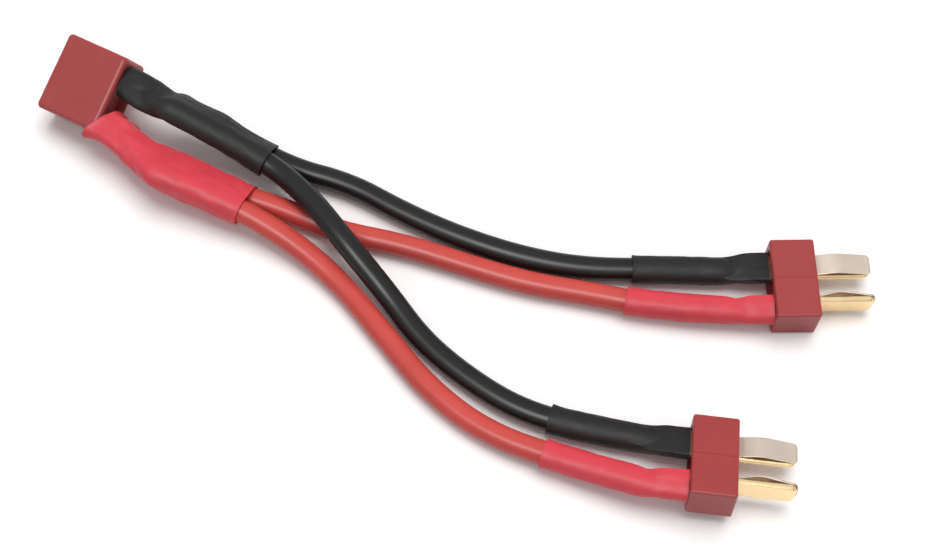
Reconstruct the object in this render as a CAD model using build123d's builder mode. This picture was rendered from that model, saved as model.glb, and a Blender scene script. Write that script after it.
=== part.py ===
from build123d import *
from math import cos, pi, radians, sin, tan
import os

# A parallel lead for two batteries: one flat blade socket and two flat blade plugs,
# joined by four silicone wires. Each solder joint is covered by a shrunk sleeve.
# The frame stands on the table: X runs from the socket to the plugs, Y points away
# from the viewer, Z is up, and the origin is below the middle of the rigid pieces.

# Housings, moulded in nylon
body_width = 16.0
body_height = 8.0
plug_body_length = 8.4
socket_body_length = 14.2
socket_step = 0.3
plug_edge_radius = 0.5
socket_edge_radius = 0.9
recess_end_wall = 1.5
recess_side_wall = 0.9
recess_corner_radius = 0.8
plug_recess_depth = 0.8
socket_recess_depth = 1.6
parting_groove_width = 0.12
parting_groove_depth = 0.06

# Contacts, stamped from brass strip
contact_inset = 0.2
contact_spacing = body_width / 2 - 2 * contact_inset
blade_width = 4.8
blade_thickness = 1.2
blade_reach = 10.6
blade_tip_radius = 1.2
blade_tip_chamfer = 0.3
shoulder_width = 5.6
shoulder_length = 2.6
tab_width = 4.0
tab_length = 4.6
socket_plate_width = 4.8
socket_plate_thickness = 1.0
socket_plate_length = 9.6
slot_end_play = 0.2
slot_height_play = 0.2
press_play = 0.03

# Leaf springs, one on each blade
spring_width = 4.0
spring_thickness = 0.3
spring_rise = 1.0
spring_root = 2.4
spring_heel = 0.4
spring_crest_share = 0.4
spring_toe = 0.8
spring_nose_drop = 0.7
spring_gap = 0.04
spring_tip_radius = 1.0
spring_heel_bend = 4.0
spring_crest_bend = 6.0
spring_toe_bend = 3.0
spring_nose_bend = 0.4

# Wires: tinned copper strands in a silicone jacket
wire_diameter = 4.5
core_diameter = 2.5
core_play = 0.05
bend_share = 0.45

# Solder and sleeves
strand_pitch = 2.6
strand_start = 0.8
strand_past_tab = 1.2
socket_neck_lead = 3.4
plug_neck_lead = 1.0
solder_film = 0.12
solder_length = 2.6
solder_cover = 0.2
solder_tab_margin = 0.3
sleeve_wall = 0.4
sleeve_play = 0.15
neck_play = 0.4
sleeve_root_gap = 0.3
single_crown = 0.95
single_side = 0.8
pair_crown = 0.65
pair_side = 0.65
socket_sleeve_grip = 18.8
plug_sleeve_grip = 18.0
sleeve_shoulder = 0.6
sleeve_steps = 6
neck_steps = 4

# Where each connector lies: middle in X and Y, then the heading of its mating end,
# how far that end dips and how far it leans over about its own axis, in degrees
socket_place = (-70.63, 38.07)
socket_heading = 150.0
socket_dip = 7.0
socket_lean = -22.5
back_plug_place = (65.67, -4.03)
back_plug_heading = 1.0
back_plug_lean = 0.0
front_plug_place = (48.07, -39.93)
front_plug_heading = -7.0
front_plug_lean = -10.0

# Centre lines of the wires, from the end of the jacket at the socket to its end at the plug
wire_rest = wire_diameter / 2
routes = {
    "black_wire_to_back_plug": [
        (-50.7, 32.1, 7.9),
        (-42.2, 28.2, 4.8),
        (-30.7, 22.7, 2.6),
        (-18.7, 19.2, wire_rest),
        (-8.7, 12.2, wire_rest),
        (2.8, 7.2, wire_rest),
        (14.8, 3.2, wire_rest),
        (26.8, 0.7, 2.65),
        (39.3, 0.2, 2.9),
        (52.6, -0.4, 2.82),
    ],
    "black_wire_to_front_plug": [
        (-51.3, 29.1, 11.5),
        (-43.5, 26.0, 8.9),
        (-33.2, 20.7, 6.8),
        (-25.7, 12.7, 11.3),
        (-19.2, 3.2, 11.3),
        (-11.7, -5.3, 4.5),
        (-4.7, -14.3, wire_rest),
        (3.8, -21.8, wire_rest),
        (13.3, -28.3, 2.7),
        (24.3, -31.7, 2.95),
        (35.5, -34.2, 3.0),
    ],
    "red_wire_to_back_plug": [
        (-55.2, 22.2, 5.0),
        (-44.2, 17.2, 3.4),
        (-32.2, 13.2, 2.4),
        (-21.2, 8.2, wire_rest),
        (-8.7, 5.7, wire_rest),
        (3.3, 1.7, wire_rest),
        (14.8, -1.8, wire_rest),
        (27.3, -4.3, 2.6),
        (39.3, -7.3, 3.0),
        (52.6, -8.9, 3.5),
    ],
    "red_wire_to_front_plug": [
        (-56.2, 18.4, 7.6),
        (-44.0, 13.4, 6.2),
        (-31.2, 7.2, 3.6),
        (-20.7, -1.8, wire_rest),
        (-11.7, -12.8, wire_rest),
        (-3.2, -24.3, wire_rest),
        (7.3, -32.8, 2.5),
        (20.8, -38.1, 3.3),
        (34.6, -43.0, 5.3),
    ],
}

os.makedirs("parts", exist_ok=True)


def save(piece, node):
    piece.part.label = node
    export_step(piece.part, f"parts/{node}.step")


# Connector frames


def connector_frame(place, length, edge_radius, heading, dip, lean):
    """A plane in the middle of a housing: Z to the mating end, X across, Y up."""
    turn = radians(heading)
    drop = radians(dip)
    mating = Vector(cos(turn) * cos(drop), sin(turn) * cos(drop), -sin(drop))
    across = Vector(-sin(turn), cos(turn), 0).rotate(Axis((0, 0, 0), mating), lean)
    level = Plane((0, 0, 0), x_dir=across, z_dir=mating)
    reach = [
        (level.x_dir, body_width / 2 - edge_radius),
        (level.y_dir, body_height / 2 - edge_radius),
        (level.z_dir, length / 2 - edge_radius),
    ]
    height = edge_radius + sum(abs(side.Z) * half for side, half in reach)
    return Plane((*place, height), x_dir=level.x_dir, z_dir=level.z_dir)


def contact_frame(frame, offset, leaf_side):
    """A plane in the middle of a blade: X to the mating end, Z to the spring side."""
    return Plane(frame.from_local_coords((offset, 0, 0)), x_dir=frame.z_dir, z_dir=leaf_side)


socket_length = socket_body_length + socket_step
socket = connector_frame(
    socket_place, socket_length, socket_edge_radius, socket_heading, socket_dip, socket_lean
)
back_plug = connector_frame(
    back_plug_place, plug_body_length, plug_edge_radius, back_plug_heading, 0, back_plug_lean
)
front_plug = connector_frame(
    front_plug_place, plug_body_length, plug_edge_radius, front_plug_heading, 0, front_plug_lean
)
half_spacing = contact_spacing / 2
socket_flat = contact_frame(socket, -half_spacing, socket.y_dir)
socket_upright = contact_frame(socket, half_spacing, -socket.x_dir)
back_flat = contact_frame(back_plug, half_spacing, back_plug.y_dir)
back_upright = contact_frame(back_plug, -half_spacing, back_plug.x_dir)
front_flat = contact_frame(front_plug, half_spacing, front_plug.y_dir)
front_upright = contact_frame(front_plug, -half_spacing, front_plug.x_dir)


# Plug contacts

plug_face = plug_body_length / 2
plug_rear = -plug_body_length / 2


def blade_outline(play):
    """The flat pattern of a blade, its shoulder and its solder tab."""
    with Locations(((plug_face + blade_reach + plug_rear) / 2, 0)):
        Rectangle(plug_body_length + blade_reach + 2 * play, blade_width + 2 * play)
    with Locations((plug_rear - tab_length / 2, 0)):
        Rectangle(tab_length + 2 * play, tab_width + 2 * play)
    Rectangle(shoulder_length + 2 * play, shoulder_width + 2 * play)


def make_blade(frame, node):
    with BuildPart() as blade:
        with BuildSketch(frame.offset(-blade_thickness / 2)) as outline:
            blade_outline(0)
            fillet(outline.vertices().group_by(Axis.X)[-1], blade_tip_radius)
        extrude(amount=blade_thickness)
        tip = blade.faces().sort_by(Axis(frame.origin, frame.x_dir))[-1]
        chamfer(tip.edges().filter_by(Axis((0, 0, 0), frame.y_dir)), blade_tip_chamfer)
    save(blade, node)


spring_seat = blade_thickness / 2 + spring_gap + spring_thickness / 2
spring_start = plug_face - spring_root
spring_nose = plug_face + blade_reach + spring_gap + spring_thickness / 2
spring_end = spring_nose + spring_thickness / 2


def spring_line():
    """The bent strip: flat in the housing, up to its crest, down to the toe, over the tip."""
    FilletPolyline(
        (spring_start, spring_seat),
        (plug_face + spring_heel, spring_seat),
        (plug_face + spring_crest_share * blade_reach, spring_seat + spring_rise),
        (spring_nose - spring_toe, spring_seat),
        (spring_nose, spring_seat),
        (spring_nose, spring_seat - spring_nose_drop),
        radius=(spring_heel_bend, spring_crest_bend, spring_toe_bend, spring_nose_bend),
    )


def make_spring(frame, node):
    side = Plane(frame.origin, x_dir=frame.x_dir, z_dir=-frame.y_dir)
    with BuildPart() as spring:
        with BuildSketch(side):
            with BuildLine():
                spring_line()
            trace(line_width=spring_thickness)
        extrude(amount=spring_width / 2, both=True)
        with BuildSketch(frame) as outline:
            with Locations(((spring_start + spring_end) / 2, 0)):
                Rectangle(spring_end - spring_start, spring_width)
            fillet(outline.vertices().group_by(Axis.X)[-1], spring_tip_radius)
        extrude(amount=body_height / 2, both=True, mode=Mode.INTERSECT)
    save(spring, node)


for label, frame in (("back_plug_flat", back_flat), ("back_plug_upright", back_upright),
                     ("front_plug_flat", front_flat), ("front_plug_upright", front_upright)):
    make_blade(frame, f"{label}_blade")
    make_spring(frame, f"{label}_spring")


# Plug housings

spring_pocket_top = blade_thickness / 2 + spring_gap + spring_thickness + press_play


def make_plug_housing(frame, contacts, node):
    with BuildPart() as housing:
        with BuildSketch(frame.offset(plug_rear)):
            Rectangle(body_width, body_height)
        extrude(amount=plug_body_length)
        fillet(housing.edges(), plug_edge_radius)
        with BuildSketch(frame.offset(plug_rear)):
            RectangleRounded(
                body_width - 2 * recess_end_wall,
                body_height - 2 * recess_side_wall,
                recess_corner_radius,
            )
        extrude(amount=plug_recess_depth, mode=Mode.SUBTRACT)
        for contact in contacts:
            with BuildSketch(contact.offset(-blade_thickness / 2 - press_play)):
                blade_outline(press_play)
            extrude(amount=blade_thickness + 2 * press_play, mode=Mode.SUBTRACT)
            with BuildSketch(contact.offset(blade_thickness / 2)):
                with Locations((plug_face - spring_root / 2, 0)):
                    Rectangle(spring_root + 2 * press_play, spring_width + 2 * press_play)
            extrude(amount=spring_pocket_top - blade_thickness / 2, mode=Mode.SUBTRACT)
        for lift in (body_height / 2, -body_height / 2):
            with BuildSketch(frame.offset(plug_rear)):
                with Locations((0, lift)):
                    Rectangle(parting_groove_width, 2 * parting_groove_depth)
            extrude(amount=plug_body_length, mode=Mode.SUBTRACT)
    save(housing, node)


make_plug_housing(back_plug, (back_flat, back_upright), "back_plug_housing")
make_plug_housing(front_plug, (front_flat, front_upright), "front_plug_housing")


# Socket contacts

socket_face = socket_length / 2
socket_rear = -socket_length / 2
plate_offset = -(blade_thickness / 2 + spring_gap + socket_plate_thickness / 2)
plate_front = socket_face - socket_step - slot_end_play
plate_shoulder = plate_front - socket_plate_length


def socket_plate_outline(play):
    """The flat pattern of a socket contact: a wide plate and a narrower solder tab."""
    with Locations(((plate_front + plate_shoulder) / 2, 0)):
        Rectangle(socket_plate_length + 2 * play, socket_plate_width + 2 * play)
    tab_end = socket_rear - tab_length
    with Locations(((plate_shoulder + tab_end) / 2, 0)):
        Rectangle(plate_shoulder - tab_end + 2 * play, tab_width + 2 * play)


def make_socket_contact(frame, node):
    with BuildPart() as contact:
        with BuildSketch(frame.offset(plate_offset - socket_plate_thickness / 2)):
            socket_plate_outline(0)
        extrude(amount=socket_plate_thickness)
        mouth = contact.faces().sort_by(Axis(frame.origin, frame.x_dir))[-1]
        chamfer(mouth.edges().filter_by(Axis((0, 0, 0), frame.y_dir)), blade_tip_chamfer)
    save(contact, node)


make_socket_contact(socket_flat, "socket_flat_contact")
make_socket_contact(socket_upright, "socket_upright_contact")


# Socket housing

slot_floor = plate_offset - socket_plate_thickness / 2
slot_top = blade_thickness / 2 + spring_gap + spring_thickness + spring_rise - slot_height_play
slot_depth = socket_plate_length + slot_end_play + socket_step
slot_width = socket_plate_width + 2 * slot_end_play

with BuildPart() as socket_housing:
    with BuildSketch(socket.offset(socket_rear)):
        Rectangle(body_width, body_height)
    extrude(amount=socket_length)
    fillet(socket_housing.edges(), socket_edge_radius)
    with BuildSketch(socket.offset(socket_face)):
        with Locations((-body_width / 4, 0)):
            Rectangle(body_width / 2, body_height)
    extrude(amount=-socket_step, mode=Mode.SUBTRACT)
    with BuildSketch(socket.offset(socket_rear)):
        RectangleRounded(
            body_width - 2 * recess_end_wall,
            body_height - 2 * recess_side_wall,
            recess_corner_radius,
        )
    extrude(amount=socket_recess_depth, mode=Mode.SUBTRACT)
    for contact in (socket_flat, socket_upright):
        with BuildSketch(contact.offset(slot_floor)):
            with Locations((socket_face - slot_depth / 2, 0)):
                Rectangle(slot_depth, slot_width)
        extrude(amount=slot_top - slot_floor, mode=Mode.SUBTRACT)
        with BuildSketch(contact.offset(slot_floor - press_play)):
            socket_plate_outline(press_play)
        extrude(amount=socket_plate_thickness + 2 * press_play, mode=Mode.SUBTRACT)
save(socket_housing, "socket_housing")


# Strands laid on the tabs: the points where each conductor starts and leaves its tab

strand_lift = core_diameter / 2 + solder_film
strand_stretch = tab_length + strand_past_tab - strand_start


def tab_points(frame, rear, sideways, lift):
    """The two ends of the straight stretch of strands that is soldered to a tab."""
    start = frame.from_local_coords((rear - strand_start, sideways, lift))
    end = frame.from_local_coords((rear - tab_length - strand_past_tab, sideways, lift))
    return start, end


socket_lift = plate_offset + socket_plate_thickness / 2 + strand_lift
plug_lift = -(blade_thickness / 2 + strand_lift)
half_pitch = strand_pitch / 2
wires = {
    "black_wire_to_back_plug": (
        tab_points(socket_flat, socket_rear, -half_pitch, socket_lift),
        tab_points(back_flat, plug_rear, 0, plug_lift),
    ),
    "black_wire_to_front_plug": (
        tab_points(socket_flat, socket_rear, half_pitch, socket_lift),
        tab_points(front_flat, plug_rear, 0, plug_lift),
    ),
    "red_wire_to_back_plug": (
        tab_points(socket_upright, socket_rear, -half_pitch, socket_lift),
        tab_points(back_upright, plug_rear, 0, plug_lift),
    ),
    "red_wire_to_front_plug": (
        tab_points(socket_upright, socket_rear, half_pitch, socket_lift),
        tab_points(front_upright, plug_rear, 0, plug_lift),
    ),
}


# Wires and conductors


def bend_radii(points):
    """At each corner an arc that takes up most of half of the shorter run beside it."""
    radii = []
    for before, corner, after in zip(points, points[1:], points[2:]):
        half_turn = radians((corner - before).get_angle(after - corner)) / 2
        run = min((corner - before).length, (after - corner).length)
        radii.append(bend_share * run / tan(half_turn))
    return radii


def swept_tube(points, radii, outer, inner, node):
    """A round section carried along straight runs and tangent arcs."""
    with BuildPart() as tube:
        with BuildLine() as line:
            FilletPolyline(*points, radius=radii)
        with BuildSketch(Plane(points[0], z_dir=points[1] - points[0])):
            Circle(outer / 2)
            if inner:
                Circle(inner / 2, mode=Mode.SUBTRACT)
        sweep(path=line.wire())
    save(tube, node)
    length = line.wire().length
    section = pi * (outer**2 - inner**2) / 4
    ratio = tube.part.volume / (section * length)
    print(node, "length", round(length, 1), "volume over section x length", round(ratio, 4))
    print("  radii", [round(radius, 1) for radius in radii])
    return line.wire()


centre_lines = {}
core_lines = {}
socket_necks = {}
for node, (socket_tab, plug_tab) in wires.items():
    points = [Vector(*point) for point in routes[node]]
    tab_start, tab_end = plug_tab
    radii = bend_radii(points)
    jacket = swept_tube(points, radii, wire_diameter, core_diameter + 2 * core_play, node)
    socket_neck = points[0] + (points[0] - points[1]).normalized() * socket_neck_lead
    plug_neck = points[-1] + (points[-1] - points[-2]).normalized() * plug_neck_lead
    socket_bends = bend_radii([*socket_tab, socket_neck, points[0]])
    plug_bends = bend_radii([points[-1], plug_neck, tab_end, tab_start])
    core_points = [*socket_tab, socket_neck, *points[1:-1], plug_neck, tab_end, tab_start]
    core_radii = [*socket_bends, *radii, *plug_bends]
    core = node.replace("wire", "conductor")
    centre_lines[node] = jacket
    core_lines[node] = swept_tube(core_points, core_radii, core_diameter, 0, core)
    plug_bare = plug_neck_lead + (tab_end - plug_neck).length + strand_stretch
    socket_necks[node] = core_lines[node].length - jacket.length - plug_bare - strand_stretch


# Solder joints


def root_plane(frame, rear, distance):
    """Across a tab behind its housing: Z away from the housing, Y to the spring side."""
    origin = frame.from_local_coords((rear - distance, 0, 0))
    return Plane(origin, x_dir=-frame.y_dir, z_dir=-frame.x_dir)


pair = (-half_pitch, half_pitch)
single = (0,)


def make_solder(frame, rear, plate, strands, node):
    """Solder between one tab and the strands that lie on it, drawn thinly round the strands."""
    plane = root_plane(frame, rear, strand_start)
    plate_middle, plate_thickness, lift = plate
    outward = 1 if lift > plate_middle else -1
    foot = plate_middle + outward * (plate_thickness + solder_film) / 2
    strand_places = [(place, lift) for place in strands]
    with BuildPart() as joint:
        with BuildSketch(plane):
            with Locations((0, foot)):
                Rectangle(tab_width - 2 * solder_tab_margin, solder_film)
            with Locations(strand_places):
                Circle(core_diameter / 2 + solder_cover)
            make_hull()
            with Locations(strand_places):
                Circle(core_diameter / 2, mode=Mode.SUBTRACT)
            with Locations((0, plate_middle)):
                Rectangle(tab_width, plate_thickness, mode=Mode.SUBTRACT)
        extrude(amount=solder_length)
    save(joint, node)


socket_plate = (plate_offset, socket_plate_thickness, socket_lift)
plug_plate = (0, blade_thickness, plug_lift)
make_solder(socket_flat, socket_rear, socket_plate, pair, "socket_black_solder")
make_solder(socket_upright, socket_rear, socket_plate, pair, "socket_red_solder")
make_solder(back_flat, plug_rear, plug_plate, single, "back_plug_black_solder")
make_solder(back_upright, plug_rear, plug_plate, single, "back_plug_red_solder")
make_solder(front_flat, plug_rear, plug_plate, single, "front_plug_black_solder")
make_solder(front_upright, plug_rear, plug_plate, single, "front_plug_red_solder")


# Shrunk sleeves

LENGTH = PositionMode.LENGTH


def along(line, distance, from_end):
    """A point on a centre line and the way it runs, counted from either end."""
    reach = line.length
    step = min(max(distance, 0), reach)
    place = reach - step if from_end else step
    way = line.tangent_at(place, position_mode=LENGTH) * (-1 if from_end else 1)
    return line.position_at(place, position_mode=LENGTH) + way * (distance - step), way


def make_sleeve(sections, paired, node):
    """A thin skin lofted through its sections, each a plane with an inner width and height."""
    with BuildPart() as sleeve:
        for grow, mode in ((sleeve_wall, Mode.ADD), (0, Mode.SUBTRACT)):
            for plane, (shift, width, height) in sections:
                with BuildSketch(plane):
                    with Locations((0, shift)):
                        if paired:
                            SlotOverall(width + 2 * grow, height + 2 * grow)
                        else:
                            Ellipse(width / 2 + grow, height / 2 + grow)
            loft(ruled=True, mode=mode)
    save(sleeve, node)


def root_sections(frame, rear, plate, span, side, crown):
    """The two sections over the tab and its strands, rounded over the tab's back."""
    plate_middle, plate_thickness, lift = plate
    outward = 1 if lift > plate_middle else -1
    back = plate_middle - outward * (plate_thickness / 2 + crown)
    front = lift + outward * (core_diameter / 2 + solder_cover + sleeve_play)
    room = ((back + front) / 2, span + 2 * side, abs(front - back))
    return [
        (root_plane(frame, rear, sleeve_root_gap), room),
        (root_plane(frame, rear, tab_length + strand_past_tab), room),
    ]


def stations(grip):
    """Distances along a wire at which its sleeve has a section, the first off its end."""
    return [-sleeve_shoulder, *(grip * step / sleeve_steps for step in range(sleeve_steps + 1))]


def single_sleeve(frame, wire, node):
    line = centre_lines[wire]
    sections = root_sections(frame, plug_rear, plug_plate, tab_width, single_side, single_crown)
    bore = wire_diameter + 2 * sleeve_play
    for distance in stations(plug_sleeve_grip):
        point, way = along(line, distance, True)
        sections.append((Plane(point, x_dir=-frame.y_dir, z_dir=way), (0, bore, bore)))
    make_sleeve(sections, False, node)


def bare_point(wire, share):
    """A point of a conductor part of the way from the socket's tab to the jacket."""
    return along(core_lines[wire], strand_stretch + share * socket_necks[wire], False)


def twin_section(first, second, way, thickness, play):
    """A section round two round things that run side by side."""
    plane = Plane((first + second) / 2, x_dir=first - second, z_dir=way)
    spread = 2 * abs(plane.to_local_coords(first).X)
    return plane, (0, spread + thickness + 2 * play, thickness + 2 * play)


def twin_sleeve(frame, first_wire, second_wire, node):
    span = strand_pitch + core_diameter
    sections = root_sections(frame, socket_rear, socket_plate, span, pair_side, pair_crown)
    first, second = centre_lines[first_wire], centre_lines[second_wire]
    for step in range(1, neck_steps):
        one, one_way = bare_point(first_wire, step / neck_steps)
        other, other_way = bare_point(second_wire, step / neck_steps)
        sections.append(twin_section(one, other, one_way + other_way, core_diameter, neck_play))
    for distance in stations(socket_sleeve_grip):
        one, one_way = along(first, distance, False)
        other, other_way = along(second, distance, False)
        sections.append(twin_section(one, other, one_way + other_way, wire_diameter, sleeve_play))
    make_sleeve(sections, True, node)


twin_sleeve(
    socket_flat, "black_wire_to_back_plug", "black_wire_to_front_plug", "socket_black_sleeve"
)
twin_sleeve(socket_upright, "red_wire_to_back_plug", "red_wire_to_front_plug", "socket_red_sleeve")
single_sleeve(back_flat, "black_wire_to_back_plug", "back_plug_black_sleeve")
single_sleeve(back_upright, "red_wire_to_back_plug", "back_plug_red_sleeve")
single_sleeve(front_flat, "black_wire_to_front_plug", "front_plug_black_sleeve")
single_sleeve(front_upright, "red_wire_to_front_plug", "front_plug_red_sleeve")
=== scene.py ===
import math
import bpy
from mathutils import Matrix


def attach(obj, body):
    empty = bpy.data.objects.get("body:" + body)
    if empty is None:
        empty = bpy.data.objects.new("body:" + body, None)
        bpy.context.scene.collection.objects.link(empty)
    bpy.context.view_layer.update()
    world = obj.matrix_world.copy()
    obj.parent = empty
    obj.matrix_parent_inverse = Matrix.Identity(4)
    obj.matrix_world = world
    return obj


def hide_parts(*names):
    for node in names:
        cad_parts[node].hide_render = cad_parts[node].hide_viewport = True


bl_info = {
    "name": "Parallel battery harness",
    "version": (1, 0, 0),
    "blender": (4, 5, 0),
    "location": "View3D > Sidebar > Harness",
    "description": "Dresses a battery lead with one blade socket and two blade plugs",
    "category": "Object",
}

import bmesh
import bpy
import numpy as np
from mathutils import Matrix, Vector, noise

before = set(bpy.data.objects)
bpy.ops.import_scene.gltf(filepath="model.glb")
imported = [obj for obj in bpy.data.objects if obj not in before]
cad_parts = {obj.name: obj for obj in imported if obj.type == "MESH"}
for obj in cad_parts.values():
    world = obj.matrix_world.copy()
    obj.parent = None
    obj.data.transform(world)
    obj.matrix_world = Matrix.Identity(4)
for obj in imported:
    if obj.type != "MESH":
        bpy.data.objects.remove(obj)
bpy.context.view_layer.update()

MM = 0.001


def linear(code):
    """An sRGB hex colour as the linear red, green and blue that shaders take."""
    values = [int(code[place : place + 2], 16) / 255 for place in (0, 2, 4)]
    return [v / 12.92 if v <= 0.04045 else ((v + 0.055) / 1.055) ** 2.4 for v in values]


# Sizes and colours


def colour(label, text, code):
    """A colour that the user can change, given as an sRGB hex value."""
    return bpy.props.FloatVectorProperty(
        name=label,
        description=text,
        subtype="COLOR",
        size=3,
        min=0,
        max=1,
        default=linear(code),
    )


def length(label, text, millimetres):
    """A length that the user can change, given in millimetres."""
    return bpy.props.FloatProperty(
        name=label,
        description=text,
        subtype="DISTANCE",
        unit="LENGTH",
        min=0,
        precision=5,
        default=millimetres * MM,
    )


class WireSettings(bpy.types.PropertyGroup):
    jacket: length("Jacket diameter", "Outside of the silicone jacket", 4.5)
    core: length("Conductor diameter", "Bundle of tinned copper strands", 2.5)
    strand: length("Strand", "Width of one bunch of strands, as it shows", 0.3)
    tin: colour("Tinned strands", "Conductors, where the jackets end", "B9A894")
    black: colour("Black silicone", "Jacket of the negative wires", "141415")
    red: colour("Red silicone", "Jacket of the positive wires", "CC4B44")


class SleeveSettings(bpy.types.PropertyGroup):
    wall: length("Wall", "Thickness of the shrunk sleeve", 0.4)
    play: length("Play", "Air between the sleeve and what it covers", 0.05)
    root_gap: length("Root gap", "Air between a plug sleeve and its housing", 0.02)
    back_black: length("Back black sleeve", "Length over the back plug's black wire", 25.8)
    back_red: length("Back red sleeve", "Length over the back plug's red wire", 27.7)
    front_black: length("Front black sleeve", "Length over the front plug's black wire", 25.8)
    front_red: length("Front red sleeve", "Length over the front plug's red wire", 26.8)
    solder: length("Solder", "Width of the solder round the strands on a tab", 2.9)
    wrinkle: length("Wrinkle", "Height of the small folds left by shrinking", 0.09)
    fold: length("Fold", "Height of the folds in the wide sleeves of the socket", 0.2)
    flare: length("Flare", "How far the cut ends stand off", 0.12)
    black: colour("Black sleeve", "Shrunk sleeves of the negative pole", "1A1919")
    red: colour("Red sleeve", "Shrunk sleeves of the positive pole", "D9424E")


class ConnectorSettings(bpy.types.PropertyGroup):
    nylon: colour("Red nylon", "Moulded housings", "9F3434")
    grain: length("Mould grain", "Size of the grain left by the mould, as it shows", 0.22)
    gold: colour("Gold plating", "Blades and socket plates", "EDD3A4")
    pale: colour("Pale plating", "Bowed leaf springs", "D6C8BA")
    solder: colour("Solder", "Joints under the sleeves", "B4B3AE")
    lines: length("Rolling lines", "Spacing of the lines along the strip, as it shows", 0.12)


class StageSettings(bpy.types.PropertyGroup):
    table: colour("Table", "Pale table top", "DAD9D9")
    glare: bpy.props.FloatProperty(
        name="Glare",
        description="How many times lighter the table looks to the camera",
        min=0,
        default=1.52,
    )
    lamp: bpy.props.FloatProperty(
        name="Lamp", description="Strength of the soft lamp", min=0, default=2.0
    )
    spread: bpy.props.FloatProperty(
        name="Spread",
        description="Angle that the soft lamp fills, which softens the shadow",
        subtype="ANGLE",
        default=math.radians(42),
    )
    mirror: bpy.props.FloatProperty(
        name="Mirror", description="Strength of the sky in reflections", min=0, default=0.95
    )
    sky: bpy.props.FloatProperty(
        name="Sky", description="Strength of the light from all round", min=0, default=0.45
    )
    gleam: bpy.props.FloatProperty(
        name="Gleam", description="Lamp that is only seen as a highlight", min=0, default=2.6
    )


# Making things


def add_node(tree, kind, settings=None, inputs=None):
    """Adds a shader node, sets its properties, and fills or links its inputs."""
    node = tree.nodes.new(kind)
    for name, value in (settings or {}).items():
        setattr(node, name, value)
    for name, value in (inputs or {}).items():
        if isinstance(value, bpy.types.NodeSocket):
            tree.links.new(value, node.inputs[name])
        else:
            node.inputs[name].default_value = value
    return node


def new_material(name):
    """A material without nodes, and its node tree."""
    material = bpy.data.materials.new(name)
    material.use_nodes = True
    material.node_tree.nodes.clear()
    return material, material.node_tree


def close_material(tree, shader):
    """Joins the finished shader to the material's output."""
    add_node(tree, "ShaderNodeOutputMaterial", inputs={"Surface": shader.outputs[0]})


# Most values of a noise pattern lie between these two
COMMON_VALUES = (0.25, 0.75)
# Added to the light shade, so that a nearly black colour strays too
LIFT = 0.02


def shades(tree, factor, base, spread):
    """A colour that strays a little from its base, darker and lighter, with a pattern."""
    ramp = add_node(tree, "ShaderNodeValToRGB", inputs={"Fac": factor})
    dark, light = ramp.color_ramp.elements
    dark.position, light.position = COMMON_VALUES
    dark.color = [v * (1 - spread) for v in base] + [1]
    light.color = [min(v * (1 + spread) + LIFT * spread, 1) for v in base] + [1]
    return ramp.outputs["Color"]


# A pattern's size can be set to nothing, so it is held above this
SMALLEST = 0.001 * MM


def per_metre(size):
    """Pattern scale whose features are about this long."""
    return 1 / max(size, SMALLEST)


# Materials


def moulded_nylon(settings):
    """Glass-filled nylon, injection moulded: satin, with a fine even grain and a gloss that varies
    a little in patches.
    """
    material, tree = new_material("moulded_nylon")
    place = add_node(tree, "ShaderNodeTexCoord").outputs["Object"]
    patch = 7 * MM
    cloud = add_node(
        tree,
        "ShaderNodeTexNoise",
        inputs={"Vector": place, "Scale": per_metre(patch), "Detail": 4, "Roughness": 0.6},
    )
    # The real grain, about 0.05 mm, is too fine to show, so it is drawn coarser
    grain = add_node(
        tree,
        "ShaderNodeTexNoise",
        inputs={"Vector": place, "Scale": per_metre(settings.grain), "Detail": 3},
    )
    gloss = add_node(
        tree,
        "ShaderNodeMapRange",
        inputs={"Value": cloud.outputs["Fac"], "To Min": 0.36, "To Max": 0.5},
    )
    bump = add_node(
        tree,
        "ShaderNodeBump",
        inputs={"Height": grain.outputs["Fac"], "Strength": 0.25, "Distance": 0.02 * MM},
    )
    shader = add_node(
        tree,
        "ShaderNodeBsdfPrincipled",
        inputs={
            "Base Color": shades(tree, cloud.outputs["Fac"], settings.nylon, 0.06),
            "Roughness": gloss.outputs["Result"],
            "Normal": bump.outputs["Normal"],
            "IOR": 1.53,
            "Specular IOR Level": 0.45,
        },
    )
    close_material(tree, shader)
    return material


def silicone(name, base):
    """Extruded silicone: soft and satin, faintly uneven, with a little dust that clings to it."""
    material, tree = new_material(name)
    place = add_node(tree, "ShaderNodeTexCoord").outputs["Object"]
    patch, speck = 9 * MM, 0.35 * MM
    cloud = add_node(
        tree,
        "ShaderNodeTexNoise",
        inputs={"Vector": place, "Scale": per_metre(patch), "Detail": 5, "Roughness": 0.55},
    )
    # Real dust is finer than the render can show, so its specks are drawn coarser
    dust = add_node(
        tree, "ShaderNodeTexNoise", inputs={"Vector": place, "Scale": per_metre(speck), "Detail": 2}
    )
    gloss = add_node(
        tree,
        "ShaderNodeMapRange",
        inputs={"Value": cloud.outputs["Fac"], "To Min": 0.3, "To Max": 0.4},
    )
    bump = add_node(
        tree,
        "ShaderNodeBump",
        inputs={"Height": dust.outputs["Fac"], "Strength": 0.15, "Distance": 0.02 * MM},
    )
    shader = add_node(
        tree,
        "ShaderNodeBsdfPrincipled",
        inputs={
            "Base Color": shades(tree, cloud.outputs["Fac"], base, 0.08),
            "Roughness": gloss.outputs["Result"],
            "Normal": bump.outputs["Normal"],
            "IOR": 1.41,
            "Specular IOR Level": 0.42,
        },
    )
    close_material(tree, shader)
    return material


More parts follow.
